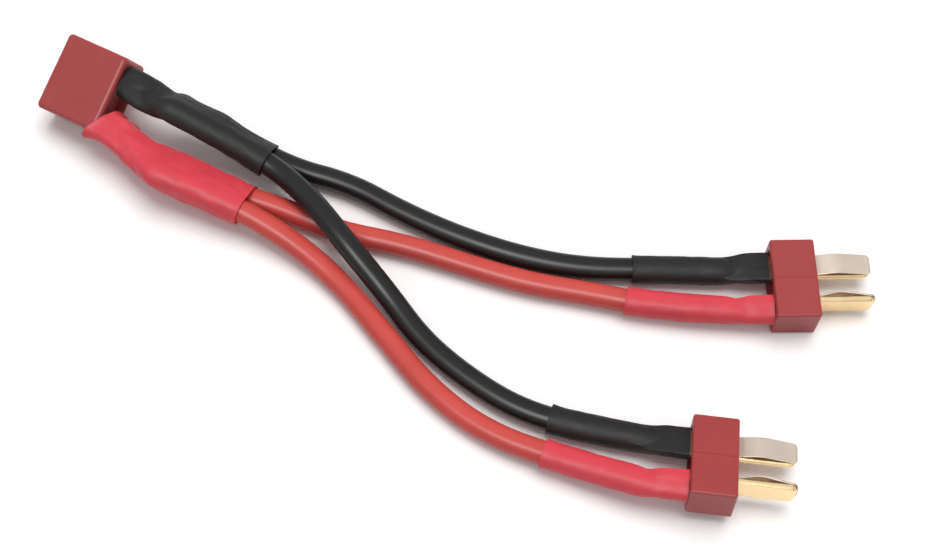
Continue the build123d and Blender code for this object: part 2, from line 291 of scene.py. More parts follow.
def shrunk_polyolefin(name, base, roughness):
    """Polyolefin sleeve shrunk with hot air: matte to satin, with small creases and scuffs."""
    material, tree = new_material(name)
    place = add_node(tree, "ShaderNodeTexCoord").outputs["Object"]
    scuff, wrinkle, pore = 4 * MM, 1.4 * MM, 0.25 * MM
    cloud = add_node(
        tree,
        "ShaderNodeTexNoise",
        inputs={"Vector": place, "Scale": per_metre(scuff), "Detail": 5, "Roughness": 0.6},
    )
    crease = add_node(
        tree,
        "ShaderNodeTexNoise",
        inputs={
            "Vector": place,
            "Scale": per_metre(wrinkle),
            "Detail": 4,
            "Roughness": 0.5,
            "Distortion": 0.6,
        },
    )
    # The real skin's grain is too fine to show, so it is drawn coarser
    skin = add_node(
        tree, "ShaderNodeTexNoise", inputs={"Vector": place, "Scale": per_metre(pore), "Detail": 2}
    )
    fold = add_node(
        tree,
        "ShaderNodeBump",
        inputs={"Height": crease.outputs["Fac"], "Strength": 0.5, "Distance": 0.12 * MM},
    )
    bump = add_node(
        tree,
        "ShaderNodeBump",
        inputs={
            "Height": skin.outputs["Fac"],
            "Strength": 0.2,
            "Distance": 0.02 * MM,
            "Normal": fold.outputs["Normal"],
        },
    )
    gloss = add_node(
        tree,
        "ShaderNodeMapRange",
        inputs={"Value": cloud.outputs["Fac"], "To Min": roughness, "To Max": roughness + 0.16},
    )
    shader = add_node(
        tree,
        "ShaderNodeBsdfPrincipled",
        inputs={
            "Base Color": shades(tree, cloud.outputs["Fac"], base, 0.07),
            "Roughness": gloss.outputs["Result"],
            "Normal": bump.outputs["Normal"],
            "IOR": 1.49,
            "Specular IOR Level": 0.35,
        },
    )
    close_material(tree, shader)
    return material


def sleeve_material(sleeves, pole):
    """The finish of a pole's sleeves, made once: the black ones are a little duller."""
    name = f"{pole}_shrunk_polyolefin"
    if name in bpy.data.materials:
        return bpy.data.materials[name]
    if pole == "black":
        return shrunk_polyolefin(name, sleeves.black, roughness=0.5)
    return shrunk_polyolefin(name, sleeves.red, roughness=0.4)


def plated_strip(name, base, roughness, spacing):
    """Plated metal strip, rolled and stamped: bright, with fine lines along it."""
    material, tree = new_material(name)
    place = add_node(tree, "ShaderNodeTexCoord").outputs["Object"]
    patch, stretch = 3 * MM, 0.06
    along = add_node(
        tree, "ShaderNodeMapping", inputs={"Vector": place, "Scale": (stretch, 1, 1)}
    )
    # Real rolling lines are finer than the render can show, so they are drawn coarser
    lines = add_node(
        tree,
        "ShaderNodeTexNoise",
        inputs={"Vector": along.outputs["Vector"], "Scale": per_metre(spacing), "Detail": 3},
    )
    cloud = add_node(
        tree,
        "ShaderNodeTexNoise",
        inputs={"Vector": place, "Scale": per_metre(patch), "Detail": 4},
    )
    gloss = add_node(
        tree,
        "ShaderNodeMapRange",
        inputs={
            "Value": cloud.outputs["Fac"],
            "To Min": roughness,
            "To Max": roughness + 0.12,
        },
    )
    edge_radius = 0.15 * MM
    edge = add_node(tree, "ShaderNodeBevel", {"samples": 6}, {"Radius": edge_radius})
    bump = add_node(
        tree,
        "ShaderNodeBump",
        inputs={
            "Height": lines.outputs["Fac"],
            "Strength": 0.3,
            "Distance": 0.01 * MM,
            "Normal": edge.outputs["Normal"],
        },
    )
    shader = add_node(
        tree,
        "ShaderNodeBsdfPrincipled",
        inputs={
            "Base Color": shades(tree, cloud.outputs["Fac"], base, 0.05),
            "Metallic": 1.0,
            "Roughness": gloss.outputs["Result"],
            "Normal": bump.outputs["Normal"],
        },
    )
    close_material(tree, shader)
    return material


def tinned_strands(base, spacing):
    """Fine tinned copper strands, bunched: dull metal with slanting grooves, with painted shade in
    the grooves and a painted highlight on the ridges.
    """
    material, tree = new_material("tinned_strands")
    place = add_node(tree, "ShaderNodeTexCoord").outputs["Object"]
    # One strand, about 0.08 mm, is too fine to show, so a ridge is a bunch of strands. At
    # scale 1 a ridge of this slanting wave is about 1 / 6 m wide.
    grooves = add_node(
        tree,
        "ShaderNodeTexWave",
        {"bands_direction": "DIAGONAL"},
        {"Vector": place, "Scale": per_metre(spacing) / 6, "Distortion": 2},
    )
    bump = add_node(
        tree,
        "ShaderNodeBump",
        inputs={"Height": grooves.outputs["Fac"], "Strength": 0.6, "Distance": 0.08 * MM},
    )
    # The colour follows the grooves' wave: painted shade darkens the grooves and a painted
    # highlight lightens the ridges between them
    shader = add_node(
        tree,
        "ShaderNodeBsdfPrincipled",
        inputs={
            "Base Color": shades(tree, grooves.outputs["Fac"], base, 0.1),
            "Metallic": 1.0,
            "Roughness": 0.4,
            "Normal": bump.outputs["Normal"],
        },
    )
    close_material(tree, shader)
    return material


def soft_solder(base):
    """Tin solder set in a smooth lump, slightly frosted."""
    material, tree = new_material("soft_solder")
    place = add_node(tree, "ShaderNodeTexCoord").outputs["Object"]
    bloom = 0.6 * MM
    frost = add_node(
        tree, "ShaderNodeTexNoise", inputs={"Vector": place, "Scale": per_metre(bloom), "Detail": 4}
    )
    gloss = add_node(
        tree,
        "ShaderNodeMapRange",
        inputs={"Value": frost.outputs["Fac"], "To Min": 0.25, "To Max": 0.45},
    )
    shader = add_node(
        tree,
        "ShaderNodeBsdfPrincipled",
        inputs={
            "Base Color": shades(tree, frost.outputs["Fac"], base, 0.06),
            "Metallic": 1.0,
            "Roughness": gloss.outputs["Result"],
        },
    )
    close_material(tree, shader)
    return material


# Wires

# Control points of each jacket in metres, from its end at the socket to its end at the plug,
# then the stretch of bare strands at either end, down to where they lie on the solder tab.
ROUTES = {
    "black_to_back_plug": {
        "jacket": [
            (-0.0523, 0.0327, 0.0086),
            (-0.0422, 0.0283, 0.0047),
            (-0.0309, 0.0223, 0.0024),
            (-0.0189, 0.0188, 0.0024),
            (-0.0085, 0.0125, 0.00225),
            (0.0028, 0.0070, 0.0023),
            (0.0149, 0.0027, 0.0023),
            (0.0265, 0.0004, 0.0023),
            (0.0397, 0.0000, 0.0027),
            (0.0526, -0.0004, 0.0028),
        ],
        "at_socket": [
            (-0.0618, 0.0381, 0.0108),
            (-0.0575, 0.0356, 0.0114),
            (-0.0552, 0.0340, 0.0097),
        ],
        "at_plug": [
            (0.0536, -0.0005, 0.0027),
            (0.0556, -0.0004, 0.0020),
            (0.0606, -0.0003, 0.0020),
        ],
    },
    "black_to_front_plug": {
        "jacket": [
            (-0.0530, 0.0297, 0.0121),
            (-0.0438, 0.0260, 0.0089),
            (-0.0334, 0.0206, 0.0060),
            (-0.0256, 0.0126, 0.0072),
            (-0.0187, 0.0032, 0.0073),
            (-0.0112, -0.0050, 0.0033),
            (-0.0046, -0.0142, 0.00225),
            (0.0036, -0.0217, 0.0023),
            (0.0133, -0.0282, 0.0024),
            (0.0241, -0.0318, 0.0028),
            (0.0355, -0.0341, 0.0029),
        ],
        "at_socket": [
            (-0.0629, 0.0359, 0.0098),
            (-0.0586, 0.0335, 0.0104),
            (-0.0560, 0.0309, 0.0131),
        ],
        "at_plug": [
            (0.0365, -0.0343, 0.0029),
            (0.0386, -0.0353, 0.0026),
            (0.0435, -0.0359, 0.0026),
        ],
    },
    "red_to_back_plug": {
        "jacket": [
            (-0.0551, 0.0221, 0.0049),
            (-0.0442, 0.0171, 0.0033),
            (-0.0321, 0.0134, 0.0026),
            (-0.0211, 0.0083, 0.00225),
            (-0.0086, 0.0056, 0.0023),
            (0.0032, 0.0015, 0.00225),
            (0.0150, -0.0025, 0.0023),
            (0.0271, -0.0048, 0.0024),
            (0.0394, -0.0077, 0.0030),
            (0.0526, -0.0088, 0.0035),
        ],
        "at_socket": [
            (-0.0657, 0.0298, 0.0049),
            (-0.0617, 0.0275, 0.0054),
            (-0.0580, 0.0233, 0.0053),
        ],
        "at_plug": [
            (0.0536, -0.0088, 0.0035),
            (0.0558, -0.0100, 0.0040),
            (0.0608, -0.0099, 0.0040),
        ],
    },
    "red_to_front_plug": {
        "jacket": [
            (-0.0563, 0.0184, 0.0077),
            (-0.0438, 0.0135, 0.0062),
            (-0.0313, 0.0070, 0.0041),
            (-0.0207, -0.0016, 0.00225),
            (-0.0119, -0.0128, 0.0023),
            (-0.0032, -0.0241, 0.0023),
            (0.0074, -0.0327, 0.0024),
            (0.0207, -0.0381, 0.0033),
            (0.0346, -0.0429, 0.0052),
        ],
        "at_socket": [
            (-0.0665, 0.0291, 0.0073),
            (-0.0627, 0.0269, 0.0078),
            (-0.0594, 0.0207, 0.0081),
        ],
        "at_plug": [
            (0.0355, -0.0432, 0.0053),
            (0.0375, -0.0444, 0.0063),
            (0.0424, -0.0450, 0.0063),
        ],
    },
}


# How finely a cord is rounded, and how many steps its line takes from point to point
JACKET_ROUNDNESS = 8
STRANDS_ROUNDNESS = 3
LINE_STEPS = 16


def add_piece(name, data, material):
    """A new piece of the harness, which rides on its only body."""
    data.materials.append(material)
    piece = bpy.data.objects.new(name, data)
    bpy.context.scene.collection.objects.link(piece)
    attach(piece, "root")
    return piece


def route_curve(name, points, diameter, material, roundness):
    """A round cord on one smooth spline that its points pull into place."""
    data = bpy.data.curves.new(name, "CURVE")
    data.dimensions = "3D"
    data.bevel_depth = diameter / 2
    data.bevel_resolution = roundness
    data.use_fill_caps = True
    spline = data.splines.new("NURBS")
    spline.points.add(len(points) - 1)
    for knot, point in zip(spline.points, points):
        knot.co = (*point, 1)
    spline.order_u = 3
    spline.use_endpoint_u = True
    spline.resolution_u = LINE_STEPS
    return add_piece(name, data, material)


def read_line(name):
    """Points along a cord's own line, read from its spline."""
    if name not in bpy.data.objects:
        raise RuntimeError(f"{name} isn't there yet: make the wires first")
    bare = bpy.data.objects[name].data.copy()
    bare.bevel_depth = 0
    holder = bpy.data.objects.new("line", bare)
    mesh = bpy.data.meshes.new_from_object(holder)
    points = np.array([vertex.co for vertex in mesh.vertices])
    bpy.data.objects.remove(holder)
    bpy.data.meshes.remove(mesh)
    bpy.data.curves.remove(bare)
    return points


def distances_along(points):
    """How far along their line each of these points is."""
    steps = np.linalg.norm(np.diff(points, axis=0), axis=1)
    return np.concatenate([[0], np.cumsum(steps)])


def walk(points, distances):
    """Places at these distances along a line of points, straight on past its ends."""
    far = distances_along(points)
    inside = np.clip(distances, 0, far[-1])
    place = np.stack([np.interp(inside, far, points[:, axis]) for axis in range(3)], axis=1)
    before = points[0] - points[1]
    after = points[-1] - points[-2]
    place += np.outer(np.maximum(-distances, 0), before / np.linalg.norm(before))
    place += np.outer(np.maximum(distances - far[-1], 0), after / np.linalg.norm(after))
    return place


def bare_length(core, jacket):
    """How far along its strands, from their end on the tab, a wire's jacket starts."""
    start = np.linalg.norm(core - jacket[0], axis=1).argmin()
    return distances_along(core)[start]


# Sleeves

# Points round a sleeve, and the directions in which its skin is pulled tight. A pull at
# nearly a right angle to a point's direction, below this cosine, doesn't count in it.
ROUND = 96
HEADINGS = np.linspace(0, 2 * math.pi, ROUND, endpoint=False)
NORMALS = np.linspace(0, 2 * math.pi, 2 * ROUND, endpoint=False)
FACING = np.cos(HEADINGS[:, None] - NORMALS[None, :])
GRAZING = 0.02
# Balls this far apart fill what a sleeve covers, and those this near a section shape it
STEP = 0.15 * MM
FURTHEST = 9 * MM
# The strands stop this far behind the housing, where the tab is this long. Its long edges
# are about as round as a rod this thick.
STRANDS_BEHIND = 0.8 * MM
TAB = 4.6 * MM
TAB_EDGE = 0.2 * MM
# How far along the strands their solder reaches
SOLDERED = 2.9 * MM
# Edges of the flattened socket sleeves are about as round as a rod this thick
EDGE_ROD = 2.6 * MM
# A skin is evened out over this length, and near its ends over this share of the way to them
SKIN_EASE = 0.6 * MM
END_SHARE = 0.4
LEAST_EASE = 0.01 * MM
# Lengths over which the cut ends' flare, the root's lip and its slant die away
FLARE_LENGTH = 0.5 * MM
LIP_LENGTH = 0.6 * MM
SLANT_LENGTH = 2.5 * MM
# Folds are about this long, and each sleeve's are this far from the last one's in the noise
FOLD_LENGTH = 4.5 * MM
NOISE_SHIFTS = (7.3, 3.1, 5.7)
# A skin stays at least this far from its middle line, and this far above the table
LEAST_REACH = 0.2 * MM
OFF_TABLE = 0.02 * MM
# Edges that turn more sharply than this, such as the rims', stay sharp
SHARP = math.radians(50)


def rod(line, start, end, diameter):
    """Balls along a stretch of a line, so close that they fill a rod."""
    points = walk(line, np.arange(start, end, STEP))
    return np.column_stack([points, np.full(len(points), diameter / 2)])


def tab_edges(middle, way, span, across, through):
    """Small balls along the long edges of a solder tab, from its middle line's start."""
    balls = []
    for side in (-1, 1):
        for face in (-1, 1):
            start = middle + side * across + face * through
            balls.append(rod(np.array([start, start + way * span]), 0, span, TAB_EDGE))
    return np.concatenate(balls)


def wrap(discs):
    """Reach of a skin stretched round some discs, in each direction from the middle."""
    pull = discs[:, 0:1] * np.cos(NORMALS) + discs[:, 1:2] * np.sin(NORMALS) + discs[:, 2:3]
    pull = pull.max(axis=0)
    reach = np.where(FACING > GRAZING, pull / np.maximum(FACING, GRAZING), np.inf)
    return reach.min(axis=1)


def smooth_along(values, places, width):
    """Evens out values along the sleeve over about this width, and less towards its ends."""
    to_end = np.minimum(places - places[0], places[-1] - places)
    widths = np.minimum(width, END_SHARE * to_end + LEAST_EASE)
    weight = np.exp(-0.5 * ((places[:, None] - places[None, :]) / widths[:, None]) ** 2)
    return weight @ values / weight.sum(axis=1, keepdims=True)


def bridge(reach, places, slope):
    """A shrunk skin can't dive into a step, so it comes down no steeper than this."""
    fall = slope * np.abs(places[:, None] - places[None, :])
    return (reach[None, :, :] - fall[:, :, None]).max(axis=1)


def section_frames(spine, across):
    """Tangent and two crosswise directions at each place on a sleeve's middle line."""
    along = np.gradient(spine, axis=0)
    along /= np.linalg.norm(along, axis=1, keepdims=True)
    side = across - (across * along).sum(axis=1, keepdims=True) * along
    side /= np.linalg.norm(side, axis=1, keepdims=True)
    return along, side, np.cross(along, side)


def ruffle(place, heading, seed):
    """Smooth uneven height between about minus one and one: folds, and smaller ones on them."""
    spot = Vector((place / FOLD_LENGTH, math.cos(heading), math.sin(heading)))
    spot += Vector([seed * shift for shift in NOISE_SHIFTS])
    return noise.noise(spot) + 0.5 * noise.noise(spot * 2.3)


def skin_mesh(name, spine, side, up, reach, wall, material):
    """A closed thin skin: an outer and an inner surface joined by a rim at each end."""
    rows, round_count = reach.shape
    cosine, sine = np.cos(HEADINGS), np.sin(HEADINGS)
    skins = []
    for inset in (0, wall):
        spoke = np.maximum(reach - inset, LEAST_REACH)
        skin = (
            spine[:, None, :]
            + (spoke * cosine)[:, :, None] * side[:, None, :]
            + (spoke * sine)[:, :, None] * up[:, None, :]
        )
        skin[:, :, 2] = np.maximum(skin[:, :, 2], OFF_TABLE + inset)
        skins.append(skin)
    points = np.concatenate([skin.reshape(-1, 3) for skin in skins])
    inner = rows * round_count
    faces = []
    for row in range(rows - 1):
        for spoke in range(round_count):
            after = (spoke + 1) % round_count
            a, b = row * round_count + spoke, row * round_count + after
            c, d = b + round_count, a + round_count
            faces.append((a, b, c, d))
            faces.append((inner + a, inner + d, inner + c, inner + b))
    for row, flip in ((0, True), (rows - 1, False)):
        for spoke in range(round_count):
            after = (spoke + 1) % round_count
            a, b = row * round_count + spoke, row * round_count + after
            rim = (a, b, inner + b, inner + a)
            faces.append(rim[::-1] if flip else rim)
    mesh = bpy.data.meshes.new(name)
    mesh.from_pydata(points.tolist(), [], faces)
    mesh.polygons.foreach_set("use_smooth", [True] * len(faces))
    mesh.set_sharp_from_angle(angle=SHARP)
    return add_piece(name, mesh, material)


def shrink(node, pole, seed, spine, across, balls, sleeves, slope, folds, lip=0, slant=0):
    """Shrinks a sleeve round the balls that fill it; its root may flare and be cut aslant."""
    places = distances_along(spine)
    along, side, up = section_frames(spine, across)
    reach = []
    for row in range(len(spine)):
        gap = balls[:, :3] - spine[row]
        ahead = gap @ along[row]
        near = (np.abs(ahead) < balls[:, 3]) & (np.linalg.norm(gap, axis=1) < FURTHEST)
        disc = np.sqrt(balls[near, 3] ** 2 - ahead[near] ** 2) + sleeves.play
        reach.append(wrap(np.column_stack([gap[near] @ side[row], gap[near] @ up[row], disc])))
    reach = bridge(np.array(reach), places, slope)
    reach = smooth_along(reach, places, SKIN_EASE) + sleeves.wall
    for row, place in enumerate(places):
        to_end = min(place, places[-1] - place)
        rise = sleeves.flare * math.exp(-to_end / FLARE_LENGTH)
        rise += lip * math.exp(-place / LIP_LENGTH)
        for spoke, heading in enumerate(HEADINGS):
            reach[row, spoke] += rise + folds * ruffle(place, heading, seed)
    side += (slant * np.exp(-places / SLANT_LENGTH))[:, None] * along
    finish = sleeve_material(sleeves, pole)
    sleeve = skin_mesh(node + "_skin", spine, side, up, reach, sleeves.wall, finish)
    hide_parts(node)


def lump(node, balls, material):
    """A smooth lump of solder stretched round some balls."""
    form = bmesh.new()
    for x, y, z, radius in balls:
        bmesh.ops.create_icosphere(
            form, subdivisions=2, radius=radius, matrix=Matrix.Translation((x, y, z))
        )
    hull = bmesh.ops.convex_hull(form, input=form.verts)
    inside = [part for part in hull["geom_interior"] if isinstance(part, bmesh.types.BMVert)]
    bmesh.ops.delete(form, geom=inside, context="VERTS")
    mesh = bpy.data.meshes.new(node + "_lump")
    form.to_mesh(mesh)
    form.free()
    mesh.polygons.foreach_set("use_smooth", [True] * len(mesh.polygons))
    piece = add_piece(node + "_lump", mesh, material)
    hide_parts(node)


# Operators


def dress(node, material):
    """Gives a node of the frame its finish."""
    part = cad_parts[node]
    part.data.materials.clear()
    part.data.materials.append(material)


# Where the photo was taken from, and how many degrees below level the camera looks
CAMERA_PLACE = (0.00352, -0.13053, 0.2800)
CAMERA_DIP = 64.93
# The photo's width and the camera's focal length in the photo's pixels, and the sensor's
# width in millimetres
PHOTO_WIDTH = 928
FOCAL_PIXELS = 1602
SENSOR = 36


class HARNESS_OT_camera(bpy.types.Operator):
    """Sets the camera high over the front of the harness"""

    bl_idname = "harness.camera"
    bl_label = "Camera"

    def execute(self, context):
        data = bpy.data.cameras.new("camera")
        data.sensor_width = SENSOR
        data.lens = FOCAL_PIXELS / PHOTO_WIDTH * SENSOR
        data.clip_start = 0.01
        data.clip_end = 20
        camera = bpy.data.objects.new("camera", data)
        camera.location = CAMERA_PLACE
        camera.rotation_euler = (math.radians(90 - CAMERA_DIP), 0, 0)
        context.scene.collection.objects.link(camera)
        context.scene.camera = camera
        return {"FINISHED"}


class HARNESS_OT_wires(bpy.types.Operator):
    """Lays the four silicone wires with their strands"""

    bl_idname = "harness.wires"
    bl_label = "Wires"

    def execute(self, context):
        wires = context.scene.harness_wires
        strands = tinned_strands(wires.tin, wires.strand)
        jackets = {
            "black": silicone("black_silicone", wires.black),
            "red": silicone("red_silicone", wires.red),
        }
        for route, points in ROUTES.items():
            pole, _, way = route.partition("_to_")
            jacket = route_curve(
                f"{pole}_jacket_to_{way}",
                points["jacket"],
                wires.jacket,
                jackets[pole],
                JACKET_ROUNDNESS,
            )
            core = route_curve(
                f"{pole}_strands_to_{way}",
                [*points["at_socket"], *points["jacket"][1:-1], *points["at_plug"]],
                wires.core,
                strands,
                STRANDS_ROUNDNESS,
            )
            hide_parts(f"{pole}_wire_to_{way}")
            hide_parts(f"{pole}_conductor_to_{way}")
        return {"FINISHED"}


class HARNESS_OT_housings(bpy.types.Operator):
    """Finishes the three moulded housings"""

    bl_idname = "harness.housings"
    bl_label = "Housings"

    def execute(self, context):
        nylon = moulded_nylon(context.scene.harness_connectors)
        for node in ("socket_housing", "back_plug_housing", "front_plug_housing"):
            dress(node, nylon)
        return {"FINISHED"}


# The red wires come to the near face of their tab in the socket, so that joint is made here:
# a lump of this radius, from this far along the strands to this far
NEAR_JOINT = "socket_red_solder"
LUMP_RADIUS = 1.35 * MM
LUMP_SPAN = (0.3 * MM, 2.6 * MM)


class HARNESS_OT_contacts(bpy.types.Operator):
    """Finishes the blades, their leaf springs, the socket plates and the solder"""

    bl_idname = "harness.contacts"
    bl_label = "Contacts"

    def execute(self, context):
        looks = context.scene.harness_connectors
        gold = plated_strip("gold_plated_brass", looks.gold, 0.2, looks.lines)
        pale = plated_strip("pale_plated_bronze", looks.pale, 0.4, looks.lines)
        solder = soft_solder(looks.solder)
        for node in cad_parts:
            if node.endswith(("_blade", "_contact")):
                dress(node, gold)
            elif node.endswith("_spring"):
                dress(node, pale)
            elif node.endswith("_solder") and node != NEAR_JOINT:
                dress(node, solder)
        balls = []
        for way in ("back_plug", "front_plug"):
            core = read_line(f"red_strands_to_{way}")
            balls += [(*end, LUMP_RADIUS) for end in walk(core, np.array(LUMP_SPAN))]
        lump(NEAR_JOINT, balls, solder)
        return {"FINISHED"}


# Each plug sleeve: its route and, in millimetres, the way from the strands to the middle of
# the tab, half the width and half the thickness that the tab fills, then the way that the
# strands leave it. The black sleeves are a little wider, as their solder spreads past the tab.
PLUG_SLEEVES = {
    "back_plug_black_sleeve": {
        "route": "black_to_back_plug",
        "to_tab": (0, 0, 1.97),
        "across": (-0.041, 2.4, 0),
        "through": (0, 0, 0.6),
        "leaving": (-1.0, -0.017, 0),
    },
    "back_plug_red_sleeve": {
        "route": "red_to_back_plug",
        "to_tab": (-0.034, 1.97, 0),
        "across": (0, 0, -2.0),
        "through": (-0.01, 0.6, 0),
        "leaving": (-1.0, -0.017, 0),
    },
    "front_plug_black_sleeve": {
        "route": "black_to_front_plug",
        "to_tab": (0.042, 0.34, 1.94),
        "across": (0.288, 2.346, -0.416),
        "through": (0.013, 0.103, 0.591),
        "leaving": (-0.9925, 0.1219, 0),
    },
    "front_plug_red_sleeve": {
        "route": "red_to_front_plug",
        "to_tab": (0.236, 1.926, -0.342),
        "across": (-0.042, -0.345, -1.97),
        "through": (0.072, 0.587, -0.104),
        "leaving": (-0.9925, 0.1219, 0),
    },
}
# Over the tab, the middle line of a plug's sleeve shifts this share of the way to the tab's
# middle. The shift ends about here, and fades over this length.
TAB_SHARE = 0.45
TAB_LEFT = 4.4 * MM
TAB_FADE = 0.7 * MM
# Sections along the sleeve, how far its middle line is evened out, and how steeply the skin
# may come down from a step
PLUG_SECTIONS = 130
PLUG_EASE = 1.2 * MM
PLUG_SLOPE = 0.16
# The jacket is wrapped this far past the sleeve's end
SPARE = 2 * MM


class HARNESS_OT_plug_sleeves(bpy.types.Operator):
    """Shrinks a sleeve over each soldered joint of the plugs"""

    bl_idname = "harness.plug_sleeves"
    bl_label = "Plug sleeves"

    def execute(self, context):
        wires, sleeves = context.scene.harness_wires, context.scene.harness_sleeves
        for seed, (node, shape) in enumerate(PLUG_SLEEVES.items()):
            pole, _, way = shape["route"].partition("_to_")
            to_tab, across, through = (
                np.array(shape[name]) * MM for name in ("to_tab", "across", "through")
            )
            leaving = np.array(shape["leaving"])
            core = read_line(f"{pole}_strands_to_{way}")[::-1]
            jacket = read_line(f"{pole}_jacket_to_{way}")[::-1]
            bare = bare_length(core, jacket)
            start = -STRANDS_BEHIND + sleeves.root_gap
            end = start + getattr(sleeves, f"{way.split('_')[0]}_{pole}")
            places = np.linspace(start, end, PLUG_SECTIONS)
            tab_part = 1 / (1 + np.exp((places - TAB_LEFT) / TAB_FADE))
            spine = walk(core, places) + TAB_SHARE * tab_part[:, None] * to_tab
            spine = smooth_along(spine, places, PLUG_EASE)
            tab_start = walk(core, np.array([0.0]))[0] + to_tab - leaving * STRANDS_BEHIND
            balls = np.concatenate(
                [
                    rod(core, -STRANDS_BEHIND, SOLDERED, sleeves.solder),
                    rod(core, 0, bare, wires.core),
                    rod(jacket, 0, end - bare + SPARE, wires.jacket),
                    tab_edges(tab_start, leaving, TAB, across, through),
                ]
            )
            sides = np.tile(across, (len(places), 1))
            shrink(node, pole, seed, spine, sides, balls, sleeves, PLUG_SLOPE, sleeves.wrinkle)
        return {"FINISHED"}


# Each socket sleeve, in millimetres: the solder tab's start, the way it runs, half its width
# and half its thickness, then stations along the sleeve, x, y, z and half its width there,
# and how far its root flares. The slant is how far along the sleeve the root's edge shifts
# for each millimetre crosswise.
SOCKET_SLEEVES = {
    "socket_black_sleeve": {
        "tab": (
            (-62.8, 37.6, 9.55),
            (0.8596, -0.4963, 0.1219),
            (-0.844, -1.646, -0.76),
            (-0.144, -0.138, 0.459),
        ),
        "stations": (
            (-63.1, 37.0, 10.2, 3.0),
            (-61.8, 36.3, 10.5, 3.4),
            (-59.8, 34.9, 10.7, 3.8),
            (-56.9, 33.0, 10.8, 3.7),
            (-54.6, 31.9, 10.6, 3.1),
            (-53.0, 31.3, 10.3, 2.7),
            (-51.3, 30.9, 9.9, 2.8),
            (-48.7, 30.0, 9.0, 3.2),
            (-45.5, 28.5, 7.9, 3.4),
            (-41.8, 26.3, 6.8, 3.5),
            (-37.8, 24.0, 5.7, 3.3),
            (-34.9, 22.5, 4.9, 3.5),
        ),
        "lip": 0,
        "slant": 0,
    },
    "socket_red_sleeve": {
        "tab": (
            (-65.9, 31.3, 6.7),
            (0.8596, -0.4963, 0.1219),
            (-0.578, -0.55, 1.834),
            (-0.211, -0.412, -0.19),
        ),
        "stations": (
            (-67.5, 29.3, 7.4, 3.6),
            (-65.6, 27.9, 7.6, 3.1),
            (-63.8, 26.4, 7.6, 3.0),
            (-62.0, 25.0, 7.4, 3.5),
            (-60.4, 23.7, 7.1, 3.6),
            (-58.6, 22.2, 6.8, 3.7),
            (-56.5, 21.0, 6.4, 4.3),
            (-54.2, 19.9, 6.1, 4.7),
            (-49.6, 17.7, 5.6, 4.7),
            (-43.9, 15.2, 5.0, 4.5),
            (-38.8, 12.9, 4.4, 4.3),
        ),
        "lip": 0.45,
        "slant": -0.4,
    },
}
# As for the plugs' sleeves: sections, how far the middle line is evened out, and the slope
SOCKET_SECTIONS = 110
SOCKET_EASE = 1.4 * MM
SOCKET_SLOPE = 0.6
# The first socket sleeve's place in the noise, well past those of the plugs' sleeves
SOCKET_SEED = 9


class HARNESS_OT_socket_sleeves(bpy.types.Operator):
    """Shrinks a sleeve over each pair of wires at the socket"""

    bl_idname = "harness.socket_sleeves"
    bl_label = "Socket sleeves"

    def execute(self, context):
        wires, sleeves = context.scene.harness_wires, context.scene.harness_sleeves
        for seed, (node, shape) in enumerate(SOCKET_SLEEVES.items(), start=SOCKET_SEED):
            pole = node.split("_")[1]
            start, leaving, across, through = (np.array(part) for part in shape["tab"])
            stations = np.array(shape["stations"]) * MM
            rungs = np.linspace(0, len(stations) - 1, SOCKET_SECTIONS)
            path = np.stack(
                [np.interp(rungs, range(len(stations)), column) for column in stations.T], axis=1
            )
            places = distances_along(path[:, :3])
            path = smooth_along(path, places, SOCKET_EASE)
            spine, half = path[:, :3], path[:, 3]
            sides = np.cross(np.gradient(spine, axis=0), (0, 0, 1))
            sides /= np.linalg.norm(sides, axis=1, keepdims=True)
            bulge = EDGE_ROD / 2
            out = (half - sleeves.wall - sleeves.play - bulge)[:, None] * sides
            balls = [
                np.column_stack([spine + way * out, np.full(len(spine), bulge)]) for way in (-1, 1)
            ]
            balls.append(tab_edges(start * MM, leaving, TAB, across * MM, through * MM))
            for way in ("back_plug", "front_plug"):
                core = read_line(f"{pole}_strands_to_{way}")
                jacket = read_line(f"{pole}_jacket_to_{way}")
                balls.append(rod(core, 0, bare_length(core, jacket), wires.core))
                balls.append(rod(core, 0, SOLDERED, sleeves.solder))
                balls.append(rod(jacket, 0, places[-1], wires.jacket))
            shrink(
                node,
                pole,
                seed,
                spine,
                sides,
                np.concatenate(balls),
                sleeves,
                SOCKET_SLOPE,
                sleeves.fold,
                lip=shape["lip"] * MM,
                slant=shape["slant"],
            )
        return {"FINISHED"}


# Half the table top's width, and how far it lies below what rests on it
TABLE_HALF = 1.5
TABLE_DROP = 0.02 * MM
# The ways in which the soft lamp and the gleam lamp lie, and the angle the gleam lamp fills
LAMP_WAY = (0.12, 0.28, 1.0)
GLEAM_WAY = (-0.25, -0.45, 1.0)
GLEAM_SPREAD = math.radians(28)
# In reflections the sky is this share as bright at the horizon as from this height up,
# which is given as the sine of its angle
HORIZON_SHARE = 0.3
FULL_HEIGHT = 0.6


def sprayed_paint(stage):
    """Matt paint, sprayed: even, with no gloss. It looks lighter than the light that it sheds."""
    material, tree = new_material("sprayed_paint")
    ray = add_node(tree, "ShaderNodeLightPath")
    seen = add_node(
        tree,
        "ShaderNodeMath",
        {"operation": "MAXIMUM"},
        {0: ray.outputs["Is Camera Ray"], 1: ray.outputs["Is Glossy Ray"]},
    )
    shade = add_node(tree, "ShaderNodeMix", {"data_type": "RGBA"}, {"Factor": seen.outputs[0]})
    shed, shown = [socket for socket in shade.inputs if socket.type == "RGBA"]
    shed.default_value = (*stage.table, 1)
    shown.default_value = (*(value * stage.glare for value in stage.table), 1)
    mixed = [socket for socket in shade.outputs if socket.type == "RGBA"][0]
    paint = add_node(tree, "ShaderNodeBsdfDiffuse", inputs={"Color": mixed, "Roughness": 0.5})
    close_material(tree, paint)
    return material


